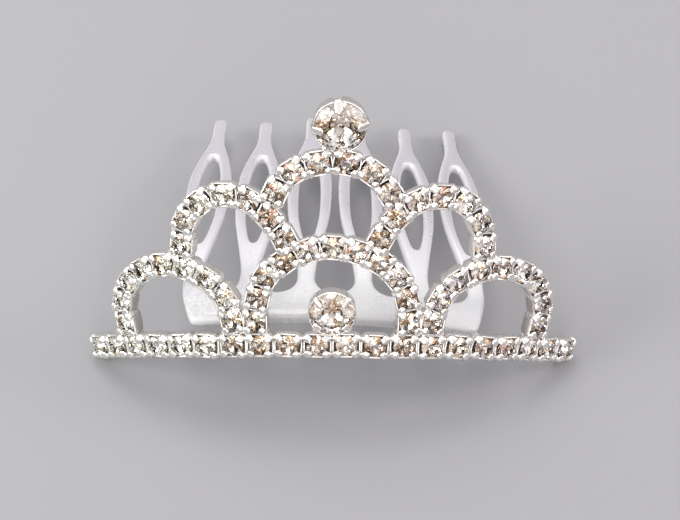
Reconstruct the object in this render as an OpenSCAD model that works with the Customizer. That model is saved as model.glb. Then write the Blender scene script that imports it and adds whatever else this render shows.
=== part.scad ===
// Small tiara on a hair comb: cut stones in claw cups, soldered in arches, on a clear plastic comb.
// It lies as it rests by itself: the two ends of the cup row and the tips of the comb are on the floor.
// X runs along the row, Y away from the viewer and Z up. Sizes are in millimetres.

/* [Cup row] */
// Distance between the centres of two cups in the bottom row
row_pitch = 3.6; // [3.4:0.1:3.8]
// Number of cups in the bottom row
row_cups = 20; // [18:2:22]
// Radius of the arc that the bottom row is bent to
row_radius = 44.9; // [42:0.1:50]
// Angle between the plane of that arc and the floor, in degrees
row_tilt = 65.5; // [60:0.5:70]
// How far the wall of arches flares outwards from that plane's normal, in degrees
wall_flare = 22; // [15:1:26]

/* [Cup] */
// Width of a square cup over its rim
cup_w = 3.04; // [2.9:0.02:3.1]
// Depth of a cup from the stone's girdle to its back
cup_d = 1.8; // [1.6:0.1:2]
// Width of a claw
claw_w = 0.7; // [0.6:0.05:0.8]
// Height of a claw above the stone's girdle
claw_h = 0.6; // [0.5:0.05:0.7]
// Width of the bars that join two cups at the back
bar_w = 1.2; // [1:0.1:1.4]

/* [Stones] */
// Diameter of a small stone
stone_d = 2.66; // [2.5:0.02:2.7]
// Diameter of the stone above the top arch
upper_big_d = 6.1; // [5.6:0.1:6.2]
// Diameter of the stone inside the centre arch
lower_big_d = 5.5; // [5:0.1:5.6]
// Height of the upper big stone's centre above the bottom row
upper_big_t = 27.4; // [27.3:0.1:27.6]
// How far the upper big stone was soldered to the right of the middle
upper_big_s = 0.7; // [0:0.1:0.8]
// Height of the lower big stone's centre above the bottom row
lower_big_t = 4.3; // [4.2:0.1:4.4]
// How far the upper big stone leans forward from the wall, in degrees
upper_big_lean = 12; // [0:1:14]
// How far the lower big stone leans forward from the wall, in degrees
lower_big_lean = 8; // [0:1:10]

/* [Comb] */
// Length of the comb from the front edge of its body to the tips
comb_l = 38.8; // [37.8:0.1:40]
// Thickness of the comb
comb_t = 1.6; // [1.4:0.1:1.7]
// Distance between two teeth at their roots
tooth_pitch = 7.5; // [7.35:0.05:7.6]
// Radius that the comb is bowed to, across its teeth
comb_bow = 120; // [100:1:140]
// How far the comb slopes down from its front edge to its tips, in degrees
comb_slope = 13; // [12:0.1:14]
// How far the comb was fastened leaning down to the right, in degrees
comb_roll = 3.4; // [2:0.1:4]
// How far the comb was fastened turned to the left, seen from above, in degrees
comb_turn = 0.3; // [0:0.1:0.6]
// How far the comb's middle is to the right of the row's middle
comb_x = 0.3; // [0:0.1:0.4]

/* [Hidden] */

// Sides of a round shape in a preview
$fn = 48;

// Centrelines of the arches on the wall. Each row is [place along the bottom row, height above it].
lower_arch = [
    [-27.6, 0], [-27.8, 3.4], [-27.0, 7.0], [-24.4, 9.6], [-20.6, 10.6],
    [-17.1, 10.0], [-14.2, 8.2], [-12.7, 5.7], [-12.3, 2.9], [-12.3, 0]
];
centre_arch = [
    [-9.3, 0], [-9.3, 3.4], [-8.7, 6.4], [-7.5, 8.9], [-5.4, 10.8], [-2.8, 12.1],
    [0, 12.6], [2.8, 12.1], [5.4, 10.8], [7.5, 8.9], [8.7, 6.4], [9.3, 3.4], [9.3, 0]
];
upper_arch = [
    [-17.4, 10.1], [-17.3, 12.9], [-16.5, 15.9], [-14.6, 18.3], [-12.0, 19.2],
    [-9.4, 18.7], [-7.5, 17.3], [-6.3, 15.4], [-5.2, 13.4], [-4.0, 10.7]
];
// The top arch from a cup of the left upper arch, which it shares, to the middle
top_arch_side = [[-6.4, 18.4], [-5.5, 20.1], [-4.0, 21.9], [-2.1, 22.8], [0, 23.0]];

// Numbers of pitches along each arch, from the cup it starts at to the cup it ends at
lower_pitches = 10;
centre_pitches = 12;
upper_pitches = 8;
top_pitches = 7;
// The cup of the upper arches, counted from the outside, that the top arch starts from
shared_cup = 6;
// Numbers of straight steps that stand for each piece of a centreline and of the comb's outline
path_steps = 8;
outline_steps = 2;

row_end = row_cups * row_pitch / 2;
cup_rim_z = 0.05;
bar_t = 0.5;
// How far the bars start from the cups' backs
bar_in = 0.1;
claw_t = 0.32;
claw_in = 0.3;
claw_lean = 20;
claw_foot_z = -0.5;
stone_gap = 0.05;

// A cut stone's table width, crown height, half girdle and point depth, as parts of its diameter
table_part = 0.58;
crown_part = 0.19;
girdle_part = 0.03;
point_part = 0.4;
// Width of the small flat at its point, and of a pocket's floor
point_flat = 0.16;
pocket_floor = 0.3;

// Height of the row's ends above the floor, with the corners of the end cups on it
row_rise = 1.58;
// Place of the row's ends, with the middle of the whole piece at 0
row_y = -14.82;

// The big settings: wall, its straight height, depth, foot and how far forward they stand, and their claws
big_wall = 0.22;
big_wall_h = 1.5;
big_d = 2.7;
big_foot_part = 0.6;
big_forward = 0.5;
big_claw_w = 0.9;
big_claw_t = 0.3;
big_claw_foot = 1.2;
big_claw_h = 0.25;
big_claw_tip = 0.7;
big_claw_lean = 45;
big_claw_overlap = 0.05;

teeth = 6;
outer_tooth = (teeth - 1) / 2;
tip_w = 1.84;
// How far each tooth leans to the middle, and the place, width and round corners of the slots between them
tooth_lean = 1.33;
slot_from = 4.55;
slot_w = 5.2;
slot_corner_r = 2.5;
// Length of the second tooth from each side, from its root, as a part of the others'
short_part = 0.972;

// The comb's body, one tooth and its window. Each row is [distance from the front edge, half width].
body_side = [
    [0, 17.65], [0.15, 18.15], [0.5, 18.4], [1.2, 18.65], [2.5, 19.05], [4.4, 19.55], [5.8, 19.75],
    [7.15, 19.75]
];
tooth_side = [
    [3.4, 0.6], [5.0, 1.05], [6.4, 1.15], [7.8, 1.15], [9.6, 1.3], [11.5, 1.6], [13.5, 1.95], [16, 2.4],
    [18.5, 2.8], [21.5, 3.02], [24.6, 3.05], [27.2, 2.85], [29.7, 2.3], [31.8, 1.65], [33.4, 1.15], [34.7, 0.94],
    [comb_l - 0.7, tip_w / 2], [comb_l - 0.2, tip_w / 2 - 0.2], [comb_l, tip_w / 2 - 0.5]
];
tooth_window = [
    [13.4, 0], [13.6, 0.3], [14.5, 0.65], [16, 1.0], [18.5, 1.38], [21.5, 1.5], [25, 1.45], [27.6, 1.2],
    [29.5, 0.8], [30.5, 0.4], [30.75, 0]
];

// Sides of the cylinders that bow the comb, and how far they and the outline's block reach past it
bow_sides = 240;
bow_over = 1;
block_up = 4;
block_down = 8;

// The comb's front edge is this far from the row's ends, and as high as puts its lowest tip on the floor
comb_front_y = -1.3;
tip_x = outer_tooth * tooth_pitch - sin(outer_tooth * tooth_lean) * (comb_l - slot_from) + tip_w / 2;
tip_under = comb_t / 2 - comb_bow + sqrt(pow(comb_bow - comb_t, 2) - pow(tip_x, 2));
comb_front_z =
    comb_l * sin(comb_slope) - (tip_under * cos(comb_roll) - tip_x * sin(comb_roll)) * cos(comb_slope);

function turn(s) = s / row_radius * 180 / PI;
function mirrored(points) = [for (i = [len(points) - 1:-1:0]) [-points[i][0], points[i][1]]];
function unit(v) = v / norm(v);

// Directions on the wall at the place s along the bottom row
function outwards(s) = [sin(turn(s)), -cos(turn(s)) * cos(row_tilt), cos(turn(s)) * sin(row_tilt)];
row_normal = [0, sin(row_tilt), cos(row_tilt)];
function upwards(s) = cos(wall_flare) * row_normal + sin(wall_flare) * outwards(s);
function facing(s) = cos(wall_flare) * outwards(s) - sin(wall_flare) * row_normal;
function row_point(s) =
    let (reach = row_radius * (cos(turn(s)) - cos(turn(row_end))))
    [row_radius * sin(turn(s)), row_y - reach * cos(row_tilt), row_rise + reach * sin(row_tilt)];
function wall_point(p) = row_point(p[0]) + p[1] * upwards(p[0]);

// A smooth curve through hand-chosen points, as short steps
function smooth(a, b, c, d, u) =
    b + 0.5 * u * (c - a + u * (2 * a - 5 * b + 4 * c - d + u * (3 * b - a - 3 * c + d)));
function curve(points, steps) =
    let (last = len(points) - 1)
    concat([
        for (i = [0:last - 1])
            for (j = [0:steps - 1])
                smooth(points[max(i - 1, 0)], points[i], points[i + 1], points[min(i + 2, last)], j / steps)
    ], [points[last]]);
function walked(q, i = 0, total = 0) =
    i == len(q) - 1 ? [total]
    : concat([total], walked(q, i + 1, total + norm(wall_point(q[i + 1]) - wall_point(q[i]))));
// Evenly spaced places along a curve, from its first point to its last
function places(points, pitches) =
    let (q = curve(points, path_steps), d = walked(q))
    [for (k = [0:pitches])
        let (at = d[len(d) - 1] * k / pitches)
        [for (c = [0, 1]) lookup(at, [for (i = [0:len(q) - 1]) [d[i], q[i][c]]])]];

row_places = [for (i = [0:row_cups - 1]) [(i + 0.5) * row_pitch - row_end, 0]];
left_lower = places(lower_arch, lower_pitches);
right_lower = mirrored(left_lower);
centre = places(centre_arch, centre_pitches);
left_upper = places(upper_arch, upper_pitches);
right_upper = mirrored(left_upper);
top_side = concat([left_upper[shared_cup]], top_arch_side);
top = places(concat(top_side, [for (i = [len(top_side) - 2:-1:0]) [-top_side[i][0], top_side[i][1]]]),
    top_pitches);

// A place's frame: Z faces outwards from the wall, X runs along the given direction
module in_frame(origin, ahead, z) {
    y = unit(cross(z, ahead));
    x = cross(y, z);
    multmatrix([
        [x[0], y[0], z[0], origin[0]],
        [x[1], y[1], z[1], origin[1]],
        [x[2], y[2], z[2], origin[2]],
        [0, 0, 0, 1]
    ]) children();
}

// Puts its children at a place of a list, with their X along the chain
module at_place(list, i) {
    ahead = wall_point(list[min(i + 1, len(list) - 1)]) - wall_point(list[max(i - 1, 0)]);
    in_frame(wall_point(list[i]), ahead, facing(list[i][0])) children();
}

module centred_box(size, z) {
    translate([-size[0] / 2, -size[1] / 2, z]) cube(size);
}

// The square cup without its pocket
module cup_body() {
    centred_box([cup_w, cup_w, cup_d + cup_rim_z], -cup_d);
}

// Four claws at the corners of a cup, which lean over its stone
module claws() {
    for (a = [0:90:270])
        rotate(a + 45) translate([cup_w / sqrt(2) - claw_in, 0, claw_foot_z])
            rotate([0, -claw_lean, 0]) centred_box([claw_t, claw_w, claw_h - claw_foot_z], 0);
}

// The space that a stone sits in, a little larger than the stone all round
module pocket(diameter) {
    r = diameter / 2 + stone_gap;
    girdle = girdle_part * diameter + stone_gap;
    crown = crown_part * diameter + stone_gap;
    depth = point_part * diameter + 2 * stone_gap;
    rotate_extrude()
        polygon([
            [0, -depth], [pocket_floor * r, -depth], [r, -girdle], [r, girdle],
            [table_part * r + stone_gap, crown], [0, crown]
        ]);
}

// Joins each place of a list to the next one, at the back of the cups
module bars(list) {
    for (i = [0:len(list) - 2]) {
        a = wall_point(list[i]);
        b = wall_point(list[i + 1]);
        z = unit(facing(list[i][0]) + facing(list[i + 1][0]));
        in_frame((a + b) / 2, b - a, z) centred_box([norm(b - a), bar_w, bar_t], bar_in - cup_d);
    }
}

// The round setting of a big stone, without its pocket
module big_body(diameter) {
    outer = diameter / 2 + big_wall;
    translate([0, 0, -big_wall_h]) cylinder(r = outer, h = big_wall_h + cup_rim_z);
    translate([0, 0, -big_d]) cylinder(r1 = big_foot_part * outer, r2 = outer, h = big_d - big_wall_h);
}

module big_claws(diameter, first_angle) {
    for (a = [first_angle:90:first_angle + 270])
        rotate(a) translate([diameter / 2 + big_wall, 0, big_claw_h]) {
            centred_box([big_claw_t, big_claw_w, big_claw_foot + big_claw_h], -big_claw_foot - big_claw_h);
            rotate([0, -big_claw_lean, 0])
                centred_box([big_claw_t, big_claw_w, big_claw_tip], -big_claw_overlap);
        }
}

// A cut stone: table, crown, girdle, pavilion and a small flat at its point
module cut_stone(diameter, sides) {
    r = diameter / 2;
    rings = [[point_flat, -point_part], [1, -girdle_part], [1, girdle_part], [table_part, crown_part]];
    points = [
        for (ring = rings)
            for (k = [0:sides - 1])
                let (a = 360 * (k + 0.5) / sides)
                [r * ring[0] * cos(a), r * ring[0] * sin(a), diameter * ring[1]]
    ];
    sides_between = [
        for (ring = [0:len(rings) - 2])
            for (k = [0:sides - 1])
                let (a = ring * sides + k, b = ring * sides + (k + 1) % sides)
                [a, a + sides, b + sides, b]
    ];
    flat = [for (k = [0:sides - 1]) k];
    table = [for (k = [sides - 1:-1:0]) (len(rings) - 1) * sides + k];
    polyhedron(points, concat([flat], sides_between, [table]));
}

module stones(list, first, last) {
    color([0.93, 0.89, 0.82])
        for (i = [first:last]) at_place(list, i) cut_stone(stone_d, 8);
}

// Puts its children at a big stone's place, with their top leaning forward
module big_place(s, t, lean) {
    at_place([[s - 1, t], [s, t], [s + 1, t]], 1)
        translate([0, 0, big_forward]) rotate([lean, 0, 0]) children();
}

module all_cups() {
    for (i = [0:row_cups - 1]) at_place(row_places, i) children();
    for (i = [1:lower_pitches - 1]) at_place(left_lower, i) children();
    for (i = [1:lower_pitches - 1]) at_place(right_lower, i) children();
    for (i = [1:centre_pitches - 1]) at_place(centre, i) children();
    for (i = [1:upper_pitches - 1]) at_place(left_upper, i) children();
    for (i = [1:upper_pitches - 1]) at_place(right_upper, i) children();
    for (i = [1:top_pitches - 1]) at_place(top, i) children();
}

// All the metal, soldered into one piece
module silver_frame() {
    color([0.82, 0.82, 0.84])
        difference() {
            union() {
                all_cups() {
                    cup_body();
                    claws();
                }
                for (list = [row_places, left_lower, right_lower, centre, left_upper, right_upper, top])
                    bars(list);
                bars([top[floor(top_pitches / 2)], [upper_big_s, upper_big_t]]);
                bars([[0, 0], [0, lower_big_t]]);
                big_place(upper_big_s, upper_big_t, upper_big_lean) {
                    big_body(upper_big_d);
                    big_claws(upper_big_d, 0);
                }
                big_place(0, lower_big_t, lower_big_lean) {
                    big_body(lower_big_d);
                    big_claws(lower_big_d, 45);
                }
            }
            all_cups() pocket(stone_d);
            big_place(upper_big_s, upper_big_t, upper_big_lean) pocket(upper_big_d);
            big_place(0, lower_big_t, lower_big_lean) pocket(lower_big_d);
        }
}

module base_row_stones() {
    stones(row_places, 0, row_cups - 1);
}

module left_lower_arch_stones() {
    stones(left_lower, 1, lower_pitches - 1);
}

module right_lower_arch_stones() {
    stones(right_lower, 1, lower_pitches - 1);
}

module centre_arch_stones() {
    stones(centre, 1, centre_pitches - 1);
}

module left_upper_arch_stones() {
    stones(left_upper, 1, upper_pitches - 1);
}

module right_upper_arch_stones() {
    stones(right_upper, 1, upper_pitches - 1);
}

module top_arch_stones() {
    stones(top, 1, top_pitches - 1);
}

module upper_big_stone() {
    color([0.95, 0.92, 0.88]) big_place(upper_big_s, upper_big_t, upper_big_lean) cut_stone(upper_big_d, 16);
}

module lower_big_stone() {
    color([0.95, 0.92, 0.88]) big_place(0, lower_big_t, lower_big_lean) cut_stone(lower_big_d, 16);
}

// A closed outline from rows of [distance along, half width]
function both_sides(rows) =
    let (half = curve(rows, outline_steps))
    concat([for (p = half) [-p[1], p[0]]], [for (i = [len(half) - 1:-1:0]) [half[i][1], half[i][0]]]);

// An outline on every tooth, at its root and leaning to the middle, and shorter on the second from each side
module on_teeth(rows) {
    for (k = [-outer_tooth:outer_tooth]) {
        part = abs(k) == outer_tooth - 1 ? short_part : 1;
        translate([k * tooth_pitch, slot_from]) rotate(k * tooth_lean)
            polygon(both_sides([for (row = rows) [part * (row[0] - slot_from), row[1]]]));
    }
}

// The round end of the slot between two teeth, open towards the tips
module slot_end() {
    for (x = [-1, 1]) translate([x * (slot_w / 2 - slot_corner_r), slot_corner_r]) circle(slot_corner_r);
    translate([slot_corner_r - slot_w / 2, 0]) square([slot_w - 2 * slot_corner_r, slot_corner_r]);
    translate([-slot_w / 2, slot_corner_r]) square([slot_w, slot_corner_r]);
}

module comb_outline() {
    difference() {
        union() {
            difference() {
                polygon(both_sides(body_side));
                for (k = [1 - outer_tooth:outer_tooth])
                    translate([(k - 0.5) * tooth_pitch, slot_from]) slot_end();
            }
            on_teeth(tooth_side);
        }
        on_teeth(tooth_window);
    }
}

// One moulded piece, bowed across its teeth
module comb() {
    color([0.84, 0.81, 0.87])
        translate([comb_x, row_y + comb_front_y, comb_front_z])
            rotate(comb_turn) rotate([-comb_slope, 0, 0]) rotate([0, comb_roll, 0])
                intersection() {
                    translate([0, 0, -block_down])
                        linear_extrude(height = block_down + block_up) comb_outline();
                    translate([0, -bow_over, comb_t / 2 - comb_bow]) rotate([-90, 0, 0]) difference() {
                        cylinder(r = comb_bow, h = comb_l + 2 * bow_over, $fn = bow_sides);
                        translate([0, 0, -bow_over])
                            cylinder(r = comb_bow - comb_t, h = comb_l + 4 * bow_over, $fn = bow_sides);
                    }
                }
}

silver_frame();
base_row_stones();
left_lower_arch_stones();
right_lower_arch_stones();
centre_arch_stones();
left_upper_arch_stones();
right_upper_arch_stones();
top_arch_stones();
upper_big_stone();
lower_big_stone();
comb();
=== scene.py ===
"""Looks of a small tiara: cut stones in silver claw cups, soldered in arches, on a frosted plastic comb.

Shapes are worked out in millimetres, as numpy surfaces, and become metres when a piece is made.
X runs along the bottom row, Y from the row to the comb's tips, Z up.
"""

import bmesh
import bpy
import numpy as np
from mathutils import Matrix
from mathutils import Vector
from mathutils.geometry import delaunay_2d_cdt


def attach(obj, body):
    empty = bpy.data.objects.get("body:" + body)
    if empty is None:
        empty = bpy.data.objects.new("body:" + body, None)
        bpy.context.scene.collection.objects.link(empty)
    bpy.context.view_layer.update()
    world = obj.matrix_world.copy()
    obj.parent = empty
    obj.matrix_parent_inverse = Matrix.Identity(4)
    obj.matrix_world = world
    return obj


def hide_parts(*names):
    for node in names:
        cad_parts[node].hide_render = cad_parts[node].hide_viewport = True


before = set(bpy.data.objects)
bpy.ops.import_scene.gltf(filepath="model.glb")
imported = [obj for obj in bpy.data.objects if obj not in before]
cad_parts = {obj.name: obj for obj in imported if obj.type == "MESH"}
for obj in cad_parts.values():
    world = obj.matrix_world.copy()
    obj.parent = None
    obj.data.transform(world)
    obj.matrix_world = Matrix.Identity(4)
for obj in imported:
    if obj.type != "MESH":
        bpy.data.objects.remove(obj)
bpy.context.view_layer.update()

# A millimetre in metres
MM = 0.001

# The bottom row: pitch, number of cups, radius of its arc, and the angles of the arc and of the wall
ROW_PITCH = 3.6
ROW_CUPS = 20
ROW_RADIUS = 44.9
ROW_TILT = np.radians(65.5)
WALL_FLARE = np.radians(22)
# Half the row's length along its arc, and where its two ends lie
ROW_END = ROW_CUPS * ROW_PITCH / 2
ROW_RISE = 1.58
ROW_Y = -14.82

# Centrelines of the arches: [place along the bottom row, height above it]
LOWER_ARCH = [
    [-27.6, 0], [-27.8, 3.4], [-27.0, 7.0], [-24.4, 9.6], [-20.6, 10.6],
    [-17.1, 10.0], [-14.2, 8.2], [-12.7, 5.7], [-12.3, 2.9], [-12.3, 0],
]
CENTRE_ARCH = [
    [-9.3, 0], [-9.3, 3.4], [-8.7, 6.4], [-7.5, 8.9], [-5.4, 10.8], [-2.8, 12.1],
    [0, 12.6], [2.8, 12.1], [5.4, 10.8], [7.5, 8.9], [8.7, 6.4], [9.3, 3.4], [9.3, 0],
]
UPPER_ARCH = [
    [-17.4, 10.1], [-17.3, 12.9], [-16.5, 15.9], [-14.6, 18.3], [-12.0, 19.2],
    [-9.4, 18.7], [-7.5, 17.3], [-6.3, 15.4], [-5.2, 13.4], [-4.0, 10.7],
]
TOP_ARCH_SIDE = [[-6.4, 18.4], [-5.5, 20.1], [-4.0, 21.9], [-2.1, 22.8], [0, 23.0]]
# Pitches in each arch, the upper arch's place where the top arch starts, and steps between two points
LOWER_PITCHES, CENTRE_PITCHES, UPPER_PITCHES, TOP_PITCHES = 10, 12, 8, 7
SHARED_CUP = 6
PATH_STEPS = 8

# Cups: width, depth and wall, and a rim of thin sheet that stands a little above the solid cup's
CUP_W = 3.1
CUP_D = 1.8
CUP_WALL = 0.2
CUP_RIM_Z = 0.05
CUP_RIM_UP = 0.05
CUP_SIDES = 32
# How far the rim dips between two cups
RIM_DIP = 0.2
# Cups are a little longer along their chain, most in the straight row, so that their claws stand in pairs
ROW_STRETCH = np.array([1.14, 1, 1])
ARCH_STRETCH = np.array([1.12, 1, 1])
# The bars between cups, how far they lie in front of the cups' backs, the small stones and the claws
BAR_W = 1.2
BAR_T = 0.5
BAR_IN = 0.1
STONE_D = 2.66
CLAW_W = 1.08
CLAW_T = 0.38
# A claw's path from a cup's corner up and over the stone: [away from the cup's middle, height]
CLAW_PATH = [[1.78, -0.62], [1.84, -0.1], [1.78, 0.2], [1.56, 0.4], [1.26, 0.48], [0.98, 0.52]]
CLAW_STEPS = 3
QUARTERS = np.array([0, 90, 180, 270])
# How unevenly the cups were set by hand: turns in radians and shifts
CUP_TURNS = np.array([0.03, 0.03, 0.05])
CUP_SHIFT = 0.04
HAND_SEED = 5

# The two big settings: stone, height and place along the row, and their lean forward
UPPER_BIG_D, UPPER_BIG_T, UPPER_BIG_S = 6.1, 27.4, 0.7
LOWER_BIG_D, LOWER_BIG_T = 5.5, 4.3
UPPER_BIG_LEAN = np.radians(12)
LOWER_BIG_LEAN = np.radians(8)
# Their wall and its height, their depth, the foot's part of their width, and how far forward they stand
BIG_WALL = 0.22
BIG_WALL_H = 1.5
BIG_D = 2.7
BIG_FOOT_PART = 0.6
BIG_FORWARD = 0.5
BIG_CLAW_T = 0.3
BIG_SIDES = 64

# A cut stone: its main facets above and below, and its crown, half girdle and point as parts of its
# diameter, and its table, stars and lower corners as parts of its width
MAINS = 8
CROWN_PART = 0.19
GIRDLE_PART = 0.03
POINT_PART = 0.4
TABLE_PART = 0.58
STAR_PART = 0.8
LOW_PART = 0.3

# The comb: length, thickness, bow, pose, teeth, tips and slots
COMB_L = 38.8
COMB_T = 1.6
COMB_BOW = 120
COMB_SLOPE = np.radians(13)
COMB_ROLL = np.radians(3.4)
COMB_TURN = np.radians(0.3)
COMB_X = 0.3
COMB_FRONT_Y = -1.3
TEETH = 6
OUTER_TOOTH = (TEETH - 1) / 2
TOOTH_PLACES = np.arange(-OUTER_TOOTH, OUTER_TOOTH + 1)
TOOTH_PITCH = 7.5
TOOTH_LEAN = np.radians(1.33)
SHORT_PART = 0.972
TIP_W = 1.84
TIP_ROUND = 0.7
TIP_SQUARE = 3
SLOT_FROM = 4.55
SLOT_W = 5.2
SLOT_CORNER_R = 2.5
# Half widths of the body, of a tooth and of its window: [distance from the front edge, half width],
# and that of the straight part of the front edge
BODY_SIDE = [
    [0, 17.65], [0.15, 18.15], [0.5, 18.4], [1.2, 18.65], [2.5, 19.05], [4.4, 19.55], [5.8, 19.75],
    [7.15, 19.75],
]
TOOTH_SIDE = [
    [7.8, 1.15], [9.6, 1.3], [11.5, 1.6], [13.5, 1.95], [16, 2.4], [18.5, 2.8], [21.5, 3.02],
    [24.6, 3.05], [27.2, 2.85], [29.7, 2.3], [31.8, 1.65], [33.4, 1.15], [34.7, 0.94],
    [36.2, TIP_W / 2], [COMB_L - TIP_ROUND, TIP_W / 2],
]
TOOTH_WINDOW = [
    [13.4, 0], [13.6, 0.3], [14.5, 0.65], [16, 1.0], [18.5, 1.38], [21.5, 1.5], [25, 1.45],
    [27.6, 1.2], [29.5, 0.8], [30.5, 0.4], [30.75, 0],
]
FRONT_HALF = 17.2
# The rounded edge, and the painted glow, a white spot where two tines meet: its fading and its size
EDGE_R = 0.6
FORK_GLOW_FROM = 1.4
FORK_GLOW_SIZE = 0.8
# How finely the outlines are drawn, how often they are eased, and the grid of points inside the body
CURVE_STEPS, TIP_STEPS, CORNER_STEPS, FRONT_STEPS = 16, 41, 19, 60
OUTLINE_STEP = 0.3
EASINGS = 3
GRID_STEP = 0.8
GRID_ACROSS = 19
GRID_ALONG = (0.9, 13)
GRID_CLEAR = 0.45

# The camera: where it stands, how it looks down, its roll, and its lens for a 36 mm sensor
CAMERA_AT = (0.92, -89.6, 154.89)
CAMERA_DOWN = np.radians(60)
CAMERA_ROLL = np.radians(0.407)
CAMERA_LENS = 67.2
SENSOR = 36

# Drops of solder at the back: length, width and depth, place behind the girdle, and the waves round
# them as [waves, height as a part]
SOLDER_SIZE = np.array([2.6, 2.1, 1.1])
SOLDER_Z = -1.55
SOLDER_WAVES = [(2, 0.12), (3, 0.08), (5, 0.05)]

# The metal's material slot and the solid that its pieces stand for
METAL = ("silver_metal", ["silver_frame"])

# Silver finishes: [tone, tone under the painted shade in its recesses, roughness from and to, height of its
# bump in mm]
SHEET_FINISH = ((0.97, 0.965, 0.96), (0.5, 0.48, 0.47), (0.2, 0.42), 0.012)
POLISHED_FINISH = ((0.98, 0.98, 0.975), (0.45, 0.44, 0.43), (0.14, 0.32), 0.008)
SOLDER_FINISH = ((0.86, 0.86, 0.87), (0.5, 0.5, 0.5), (0.2, 0.5), 0.04)

# The foil's painted reflection shades, each from its share of the facets on, and the painted light colour
# along the row, from 0 to 1
FOIL_REFLECTIONS = [
    (0, (1, 1, 0.995)), (0.48, (0.94, 0.915, 0.87)), (0.62, (0.82, 0.73, 0.61)), (0.74, (0.55, 0.42, 0.3)),
    (0.86, (0.2, 0.135, 0.09)), (0.955, (0.7, 0.67, 0.84)), (0.982, (0.92, 0.52, 0.4)),
]
ROW_LIGHT_COLOURS = [(0.1, (1, 1, 0.95)), (0.5, (0.955, 0.91, 0.875)), (0.9, (1, 0.955, 0.935))]
STONE_SEED = 11
# Painted light and shade on the small stones along the row, lighter on the left and darker in the middle:
# [place in mm, power of the random share]
STONE_LIGHTING = np.array([[-34, 1.5], [-12, 1.15], [0, 0.65], [14, 0.85], [34, 1.05]])

# Painted reflection shades of the eight main facets at the back of each big stone, from its right side
# anticlockwise
WHITE, CREAM, TAN, BROWN, DARK, LAVENDER, SALMON = 0.1, 0.5, 0.7, 0.8, 0.92, 0.97, 0.99
BIG_STONE_MAINS = {
    "upper_big_stone": [WHITE, TAN, CREAM, BROWN, DARK, WHITE, LAVENDER, WHITE],
    "lower_big_stone": [WHITE, TAN, CREAM, WHITE, DARK, LAVENDER, WHITE, SALMON],
}

# Frosted plastic: tones of the teeth, of the body from left to right with painted light brightest in the
# middle, and of the edges with a painted sheen, and its roughness
TOOTH_TONE = (0.55, 0.525, 0.565)
BODY_LIGHT_TONES = [(0.2, (0.87, 0.86, 0.89)), (0.5, (0.98, 0.975, 0.99)), (0.85, (0.94, 0.935, 0.955))]
RIM_SHEEN_TONE = (0.95, 0.94, 0.96)
PLASTIC_ROUGH = (0.24, 0.4)
# Along Y, where teeth turn to body and where specks set in; along X, the body's two sides, and where
# specks gain from their part on the right to their full strength
TEETH_TO_BODY = (4 * MM, -7 * MM)
SPECKS_FROM = (-8 * MM, -12 * MM)
BODY_SIDES = (-20 * MM, 20 * MM)
SPECKS_THIN = (18 * MM, 12 * MM)
SPECKS_ON_RIGHT = 0.4
SPECK_SCALE = 2300.0
CLUSTER_SCALE = 700.0

# The floor, the surroundings' colour, and their brightness at the horizon and from a height on
FLOOR_TONE = (0.31, 0.305, 0.315)
FLOOR_HALF = 6.0
SKY_TONE = (0.98, 0.98, 1)
SKY_LOW = 0.28
SKY_HIGH = 1.0
SKY_HIGH_FROM = 0.75
# What the soft boxes look at, and each soft box as [name, place, size, watts, colour], in metres
LIGHT_TARGET = (0, 0, 0.015)
LIGHTS = [
    ("light_behind", (-0.08, 0.32, 0.5), 0.3, 1.4, (1, 0.99, 0.98)),
    ("light_left", (-0.5, -0.08, 0.34), 0.24, 1.9, (1, 1, 0.97)),
    ("light_front", (0.02, -0.55, 0.3), 0.3, 0.8, (1, 0.99, 0.98)),
    ("light_right", (0.5, 0.05, 0.3), 0.16, 0.9, (1, 0.95, 0.94)),
]


def unit(v):
    """Vectors along the last axis, made one long."""
    return v / np.linalg.norm(v, axis=-1, keepdims=True)


def smooth_curve(points, steps):
    """A smooth curve through rows of numbers, with so many steps between two of them.

    Between two rows it is a cubic, whose slope at each row is half the step between its two neighbours.
    """
    p = np.asarray(points, float)
    padded = np.vstack([p[:1], p, p[-1:]])
    a, b, c, d = (padded[k:k + len(p) - 1, None] for k in range(4))
    u = (np.arange(steps) / steps)[None, :, None]
    q = b + 0.5 * u * (c - a + u * (2 * a - 5 * b + 4 * c - d + u * (3 * b - a - 3 * c + d)))
    return np.vstack([q.reshape(-1, p.shape[1]), p[-1:]])


def directions(s):
    """Outwards, upwards and facing directions of the wall at places s along the bottom row.

    Outwards is the arc's radius at the angle s / ROW_RADIUS, in a plane that stands at ROW_TILT. Upwards
    is that plane's normal and facing is outwards, both turned by WALL_FLARE, because the wall flares.
    """
    turn = np.asarray(s) / ROW_RADIUS
    outwards = np.stack(
        [np.sin(turn), -np.cos(turn) * np.cos(ROW_TILT), np.cos(turn) * np.sin(ROW_TILT)], -1
    )
    normal = np.array([0, np.sin(ROW_TILT), np.cos(ROW_TILT)])
    upwards = np.cos(WALL_FLARE) * normal + np.sin(WALL_FLARE) * outwards
    facing = np.cos(WALL_FLARE) * outwards - np.sin(WALL_FLARE) * normal
    return outwards, upwards, facing


def wall_point(p):
    """Points on the wall of arches, from rows of [place along the bottom row, height above it].

    Each is a point of the row's arc, whose reach is counted from its two ends, plus its height upwards.
    """
    p = np.asarray(p, float)
    turn = p[..., 0] / ROW_RADIUS
    reach = ROW_RADIUS * (np.cos(turn) - np.cos(ROW_END / ROW_RADIUS))
    base = np.stack(
        [ROW_RADIUS * np.sin(turn), ROW_Y - reach * np.cos(ROW_TILT), ROW_RISE + reach * np.sin(ROW_TILT)],
        -1,
    )
    return base + p[..., 1:2] * directions(p[..., 0])[1]


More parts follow.
